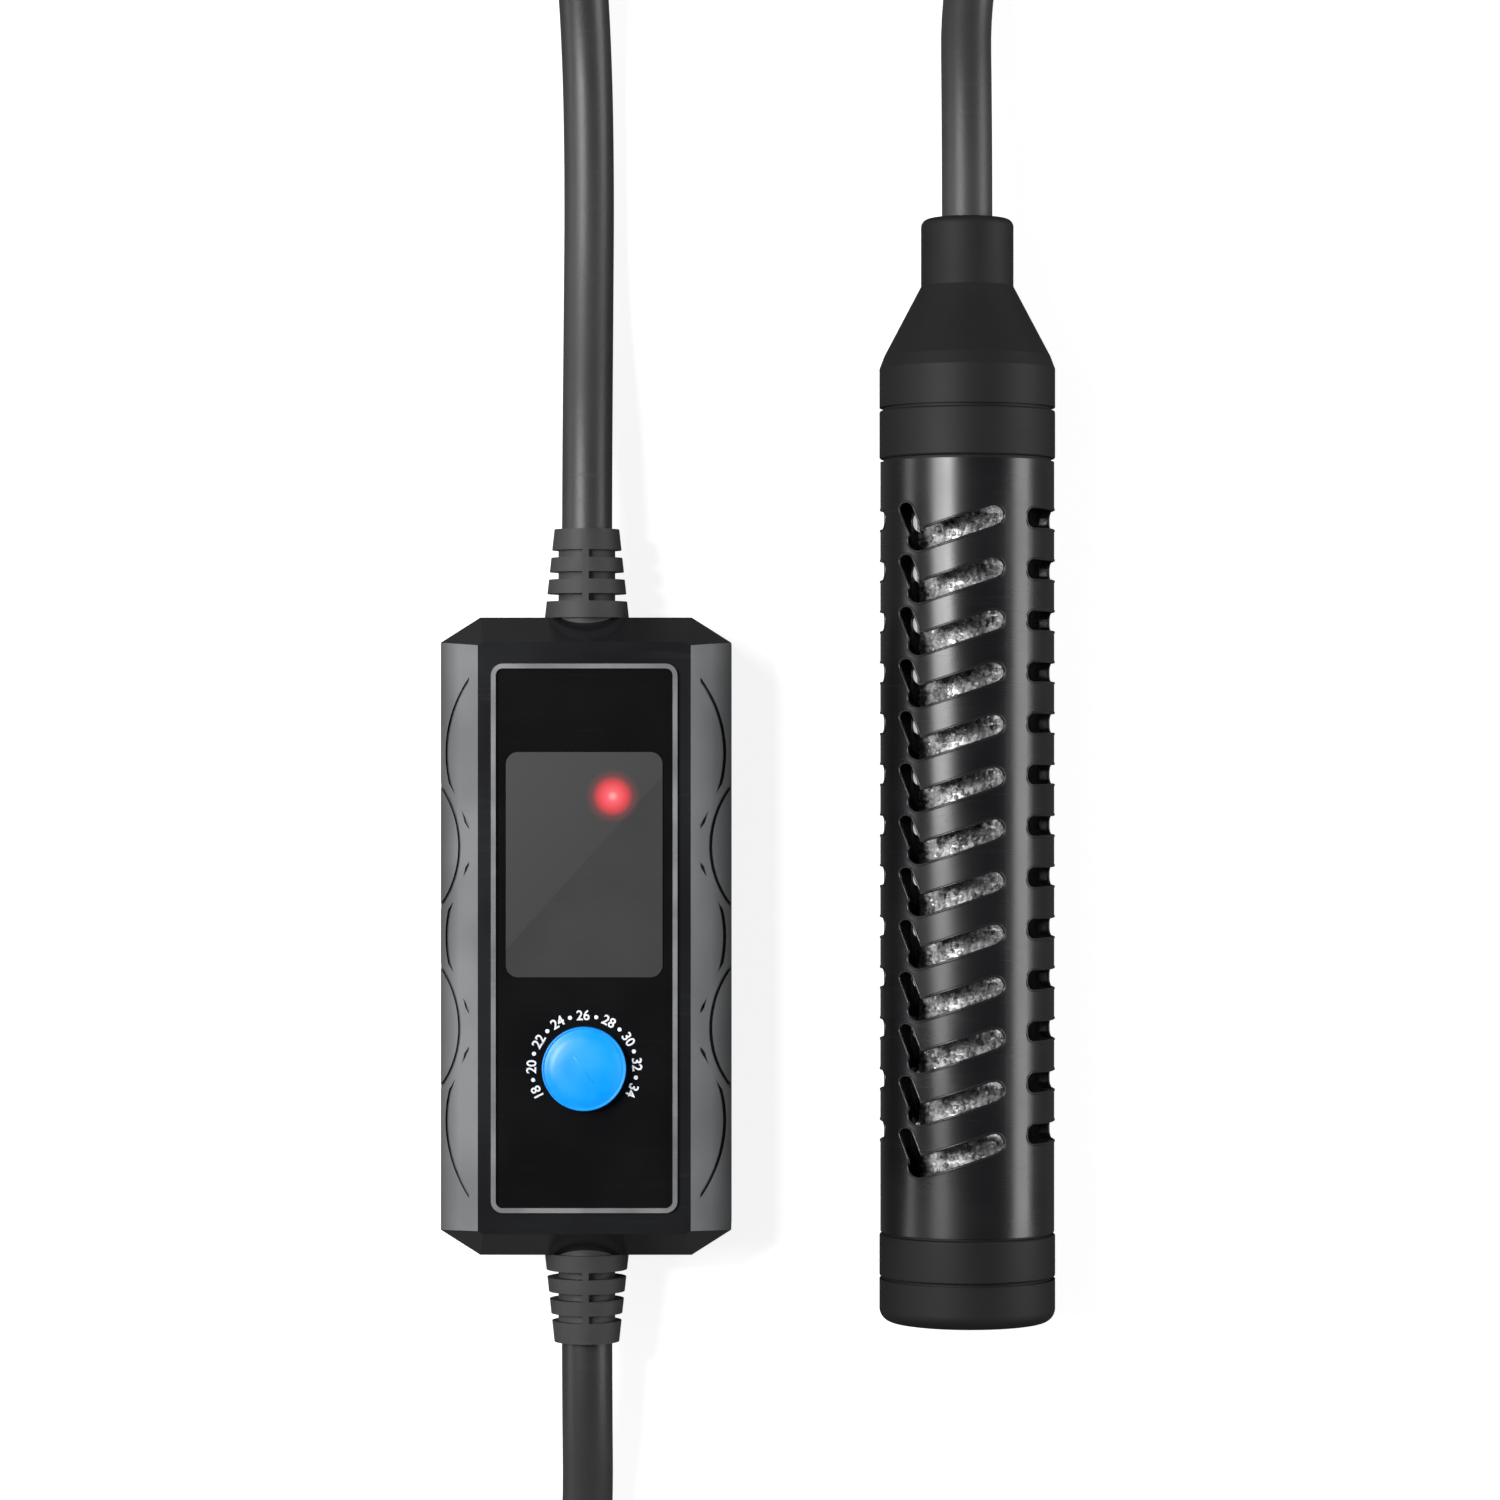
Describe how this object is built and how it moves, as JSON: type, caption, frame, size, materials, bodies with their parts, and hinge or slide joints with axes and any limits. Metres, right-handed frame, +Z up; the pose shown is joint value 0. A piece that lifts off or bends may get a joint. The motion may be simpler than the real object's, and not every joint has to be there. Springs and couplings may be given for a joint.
{
  "type": "submersible aquarium heater",
  "caption": "Slotted black heating rod with a cord to an inline temperature controller that has a rotary dial and a signal lamp, and a mains cord with a plug.",
  "frame": {"origin": "centre of the underside of the rod and controller, on the surface they lie on, measured without the free cords", "axes": "+Y along the heating rod towards its cord gland, +Z up out of the controller's dial face, +X from the controller to the rod"},
  "size_m": [0.1115, 0.5021, 0.0281],
  "materials": {
    "housing_gloss": "gloss black moulded housing, satin grey-black side facets",
    "panel_gloss": "gloss black panel film",
    "rim_grey": "raised grey rim",
    "window_smoke": "smoked window",
    "lamp_red": "red signal lamp lens",
    "knob_blue": "azure moulded knob",
    "cap_satin": "satin black moulded caps and rings",
    "guard_gloss": "polished black guard",
    "quartz_glass": "clear fused quartz",
    "quartz_sand": "crushed quartz sand, sparkling",
    "ceramic": "fired ceramic",
    "resistance_wire": "nickel chrome wire",
    "seal_rubber": "silicone rubber",
    "cord_rubber": "black rubber sheath",
    "relief_rubber": "matte moulded rubber",
    "board_laminate": "green solder mask",
    "component_black": "moulded component cases",
    "film_yellow": "film capacitor case",
    "can_metal": "aluminium can",
    "terminal_green": "terminal blocks",
    "fuse_glass": "glass cartridge",
    "lead_insulation": "lead insulation",
    "screw_steel": "zinc plated steel",
    "plug_rubber": "moulded plug",
    "pin_metal": "nickel plated brass"
  },
  "bodies": {
    "root": {"gland_cap": "cap_satin", "cord_bush": "seal_rubber", "upper_collar": "cap_satin", "guard_sleeve": "guard_gloss", "lower_collar": "cap_satin", "end_cap": "cap_satin", "quartz_tube": "quartz_glass", "rod_seal": "seal_rubber", "end_cushion": "seal_rubber", "quartz_sand": "quartz_sand", "lower_disc": "ceramic", "upper_disc": "ceramic", "ceramic_core": "ceramic", "heating_winding": "resistance_wire", "return_wire": "resistance_wire", "tube_stopper": "seal_rubber", "rod_leads": "lead_insulation", "crimp_sleeves": "screw_steel", "thermal_cutout": "can_metal", "temperature_sensor": "component_black", "rear_cover": "housing_gloss", "front_cover": "housing_gloss", "cover_gasket": "seal_rubber", "panel_rim": "rim_grey", "front_panel": "panel_gloss", "display_window": "window_smoke", "signal_lamp": "lamp_red", "lamp_legs": "screw_steel", "rotary_control": "component_black", "circuit_board": "board_laminate", "board_screws": "screw_steel", "relay": "component_black", "film_capacitor": "film_yellow", "can_capacitor": "can_metal", "board_fuse": "fuse_glass", "control_chip": "component_black", "heater_terminals": "terminal_green", "mains_terminals": "terminal_green", "upper_relief": "relief_rubber", "lower_relief": "relief_rubber", "upper_cord_clamp": "component_black", "lower_cord_clamp": "component_black", "heater_strands": "lead_insulation", "mains_strands": "lead_insulation", "clamp_screws": "screw_steel", "cover_screws": "screw_steel", "heater_cord": "cord_rubber", "heater_coil": "cord_rubber", "link_cord": "cord_rubber", "mains_cord": "cord_rubber", "mains_coil": "cord_rubber", "plug_cord": "cord_rubber", "plug_body": "plug_rubber", "plug_pins": "pin_metal", "plug_relief": "plug_rubber"},
    "dial": {"control_knob": "knob_blue", "dial_shaft": "can_metal", "dial_wiper": "screw_steel"}
  },
  "joints": [
    {"name": "dial_turn", "type": "hinge", "parent": "root", "child": "dial", "pos_m": [-0.0259, -0.0453, 0.025], "axis": [0, 0, 1], "range_deg": [-116, 116]}
  ]
}
